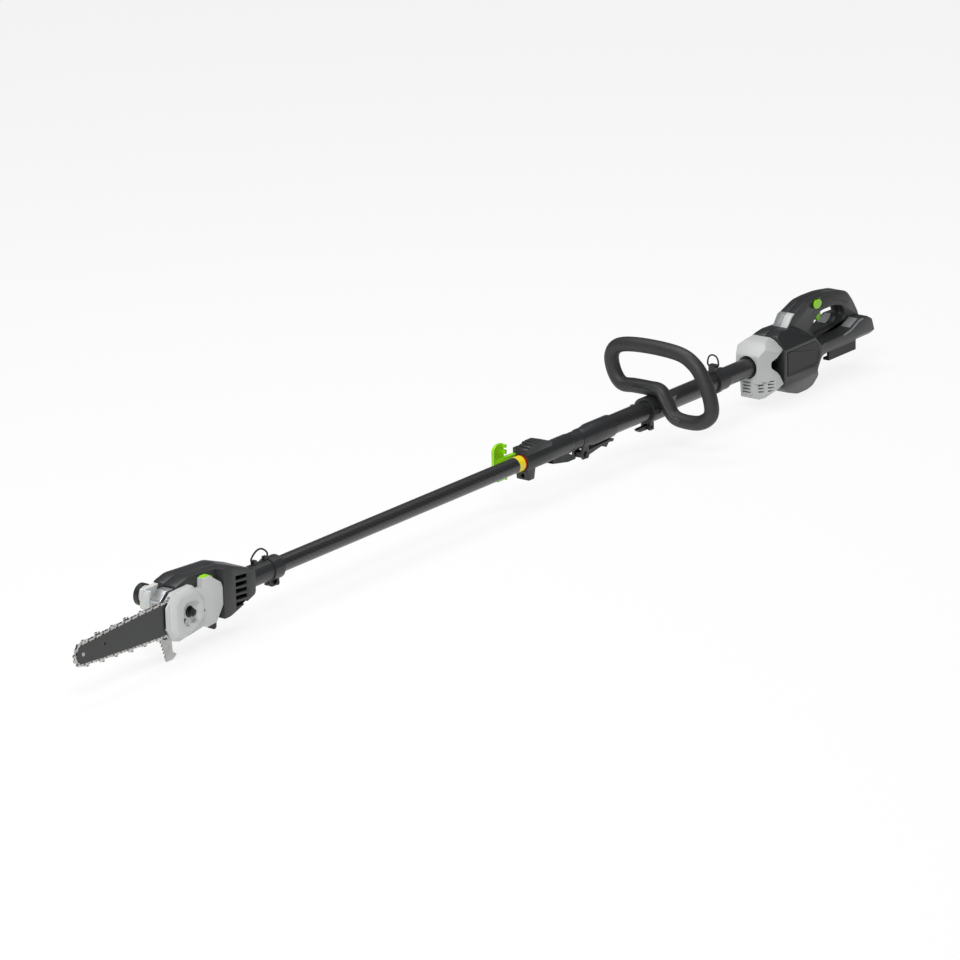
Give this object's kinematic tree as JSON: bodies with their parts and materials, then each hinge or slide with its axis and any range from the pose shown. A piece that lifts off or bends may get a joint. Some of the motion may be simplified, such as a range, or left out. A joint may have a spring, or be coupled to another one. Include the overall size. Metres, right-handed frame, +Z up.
{
  "type": "telescoping pole saw",
  "caption": "Battery pole saw: chainsaw head on a sliding inner pole, quick clamp, draw latch, loop handle and rear power head with trigger and battery bay.",
  "frame": {"origin": "middle of the bottom of the bounding box, under the pole", "axes": "+X along the pole from the saw nose to the battery bay, +Z up, guide bar and chain cover on the -Y side"},
  "size_m": [2.4016, 0.2616, 0.2219],
  "materials": {
    "black_plastic": "moulded, fine texture",
    "soft_black": "soft matt black",
    "light_grey_plastic": "light grey, satin",
    "tank_plastic": "milky, satin",
    "lime_plastic": "lime green, satin",
    "carbon_tube": "black fibre tube, satin",
    "steel": "bare steel",
    "black_steel": "black coated steel",
    "copper": "windings",
    "aluminium": "die cast",
    "green_board": "circuit board"
  },
  "bodies": {
    "outer_pole": {"clamp_body": "black_plastic", "clamp_pin": "steel", "coupling_spigot": "soft_black", "rear_sleeve": "black_plastic", "latch_pin": "steel", "latch_hook": "soft_black", "outer_tube": "carbon_tube", "strap_band": "soft_black", "front_cover": "light_grey_plastic", "tube_seal": "soft_black", "head_housing_right": "black_plastic", "head_housing_left": "black_plastic", "badge_plate_right": "soft_black", "badge_plate_left": "soft_black", "trigger_pin": "steel", "trigger_switch": "soft_black", "control_board": "green_board", "terminal_block": "soft_black", "battery_rail_right": "black_plastic", "battery_rail_left": "black_plastic"},
    "inner_pole": {"inner_tube": "carbon_tube", "tube_collar": "black_plastic", "collar_screw": "steel", "head_shell_right": "black_plastic", "head_shell_left": "black_plastic", "gear_case": "aluminium", "front_bearing": "steel", "rear_bearing": "steel", "motor_stator": "copper", "oil_tank": "tank_plastic", "oil_pump": "steel", "chain_cover": "light_grey_plastic", "bar_stud": "steel", "bar_nut": "soft_black", "limb_hook": "steel", "chip_deflector": "soft_black", "guide_bar": "black_steel", "saw_chain": "steel"},
    "drive_shaft": {"output_shaft": "steel", "crown_gear": "steel", "drive_sprocket": "steel"},
    "motor_rotor": {"motor_rotor": "black_steel", "motor_pinion": "steel"},
    "nose_sprocket": {"nose_sprocket": "steel"},
    "tension_screw": {"tension_screw": "steel"},
    "oil_cap": {"oil_cap": "soft_black"},
    "hang_ring": {"hang_ring": "steel"},
    "clamp_lever": {"clamp_lever": "lime_plastic"},
    "latch_lever": {"latch_lever": "black_plastic"},
    "loop_handle": {"loop_handle": "soft_black", "loop_bracket": "black_plastic", "loop_clamp_band": "black_plastic", "loop_clamp_pin": "steel"},
    "loop_clamp_lever": {"loop_clamp_lever": "soft_black"},
    "strap_ring": {"strap_ring": "steel"},
    "trigger": {"trigger": "lime_plastic"},
    "lock_off_button": {"lock_off_button": "lime_plastic"},
    "release_button": {"release_button": "soft_black"}
  },
  "joints": [
    {"name": "pole_telescope", "type": "slide", "parent": "outer_pole", "child": "inner_pole", "axis": [1, 0, 0], "range_m": [0, 0.5]},
    {"name": "drive_spin", "type": "hinge", "parent": "inner_pole", "child": "drive_shaft", "pos_m": [-0.84876, 0.0224, 0.082], "axis": [0, 1, 0], "continuous": true},
    {"name": "motor_spin", "type": "hinge", "parent": "inner_pole", "child": "motor_rotor", "pos_m": [-0.81576, 0.0424, 0.082], "axis": [1, 0, 0], "continuous": true},
    {"name": "nose_sprocket_spin", "type": "hinge", "parent": "inner_pole", "child": "nose_sprocket", "pos_m": [-1.17526, 0.0074, 0.082], "axis": [0, 1, 0], "continuous": true},
    {"name": "tension_screw_turn", "type": "hinge", "parent": "inner_pole", "child": "tension_screw", "pos_m": [-0.92176, -0.0022, 0.067], "axis": [0, 1, 0], "continuous": true},
    {"name": "oil_cap_turn", "type": "hinge", "parent": "inner_pole", "child": "oil_cap", "pos_m": [-0.93776, 0.0724, 0.107], "axis": [0, 1, 0], "range_deg": [0, 90]},
    {"name": "hang_ring_swing", "type": "hinge", "parent": "inner_pole", "child": "hang_ring", "pos_m": [-0.71046, 0.0224, 0.1092], "axis": [1, 0, 0], "range_deg": [-80, 80]},
    {"name": "clamp_lever_swing", "type": "hinge", "parent": "outer_pole", "child": "clamp_lever", "pos_m": [0.10554, 0.0534, 0.086], "axis": [0, 0, -1], "range_deg": [0, 100]},
    {"name": "latch_lever_swing", "type": "hinge", "parent": "outer_pole", "child": "latch_lever", "pos_m": [0.25854, 0.0224, 0.054], "axis": [0, 1, 0], "range_deg": [0, 95]},
    {"name": "loop_handle_slide", "type": "slide", "parent": "outer_pole", "child": "loop_handle", "axis": [1, 0, 0], "range_m": [-0.07, 0.15]},
    {"name": "loop_clamp_lever_swing", "type": "hinge", "parent": "loop_handle", "child": "loop_clamp_lever", "pos_m": [0.47554, 0.0224, 0.0525], "axis": [0, -1, 0], "range_deg": [0, 80]},
    {"name": "strap_ring_swing", "type": "hinge", "parent": "outer_pole", "child": "strap_ring", "pos_m": [0.69654, 0.0224, 0.1173], "axis": [0, 1, 0], "range_deg": [-80, 80]},
    {"name": "trigger_pull", "type": "hinge", "parent": "outer_pole", "child": "trigger", "pos_m": [1.03954, 0.0224, 0.152], "axis": [0, -1, 0], "range_deg": [0, 12], "stiffness_Nm_per_rad": 0.6, "springref_deg": -8.59},
    {"name": "lock_off_press", "type": "slide", "parent": "outer_pole", "child": "lock_off_button", "axis": [0, 1, 0], "range_m": [-0.003, 0.003], "stiffness_N_per_m": 400},
    {"name": "release_press", "type": "slide", "parent": "outer_pole", "child": "release_button", "axis": [-1, 0, 0], "range_m": [0, 0.004], "stiffness_N_per_m": 600, "springref_m": -0.001}
  ],
  "couplings": [
    {"joint": "motor_spin", "follows": "drive_spin", "ratio": 2.6667},
    {"joint": "nose_sprocket_spin", "follows": "drive_spin", "ratio": 0.7}
  ]
}
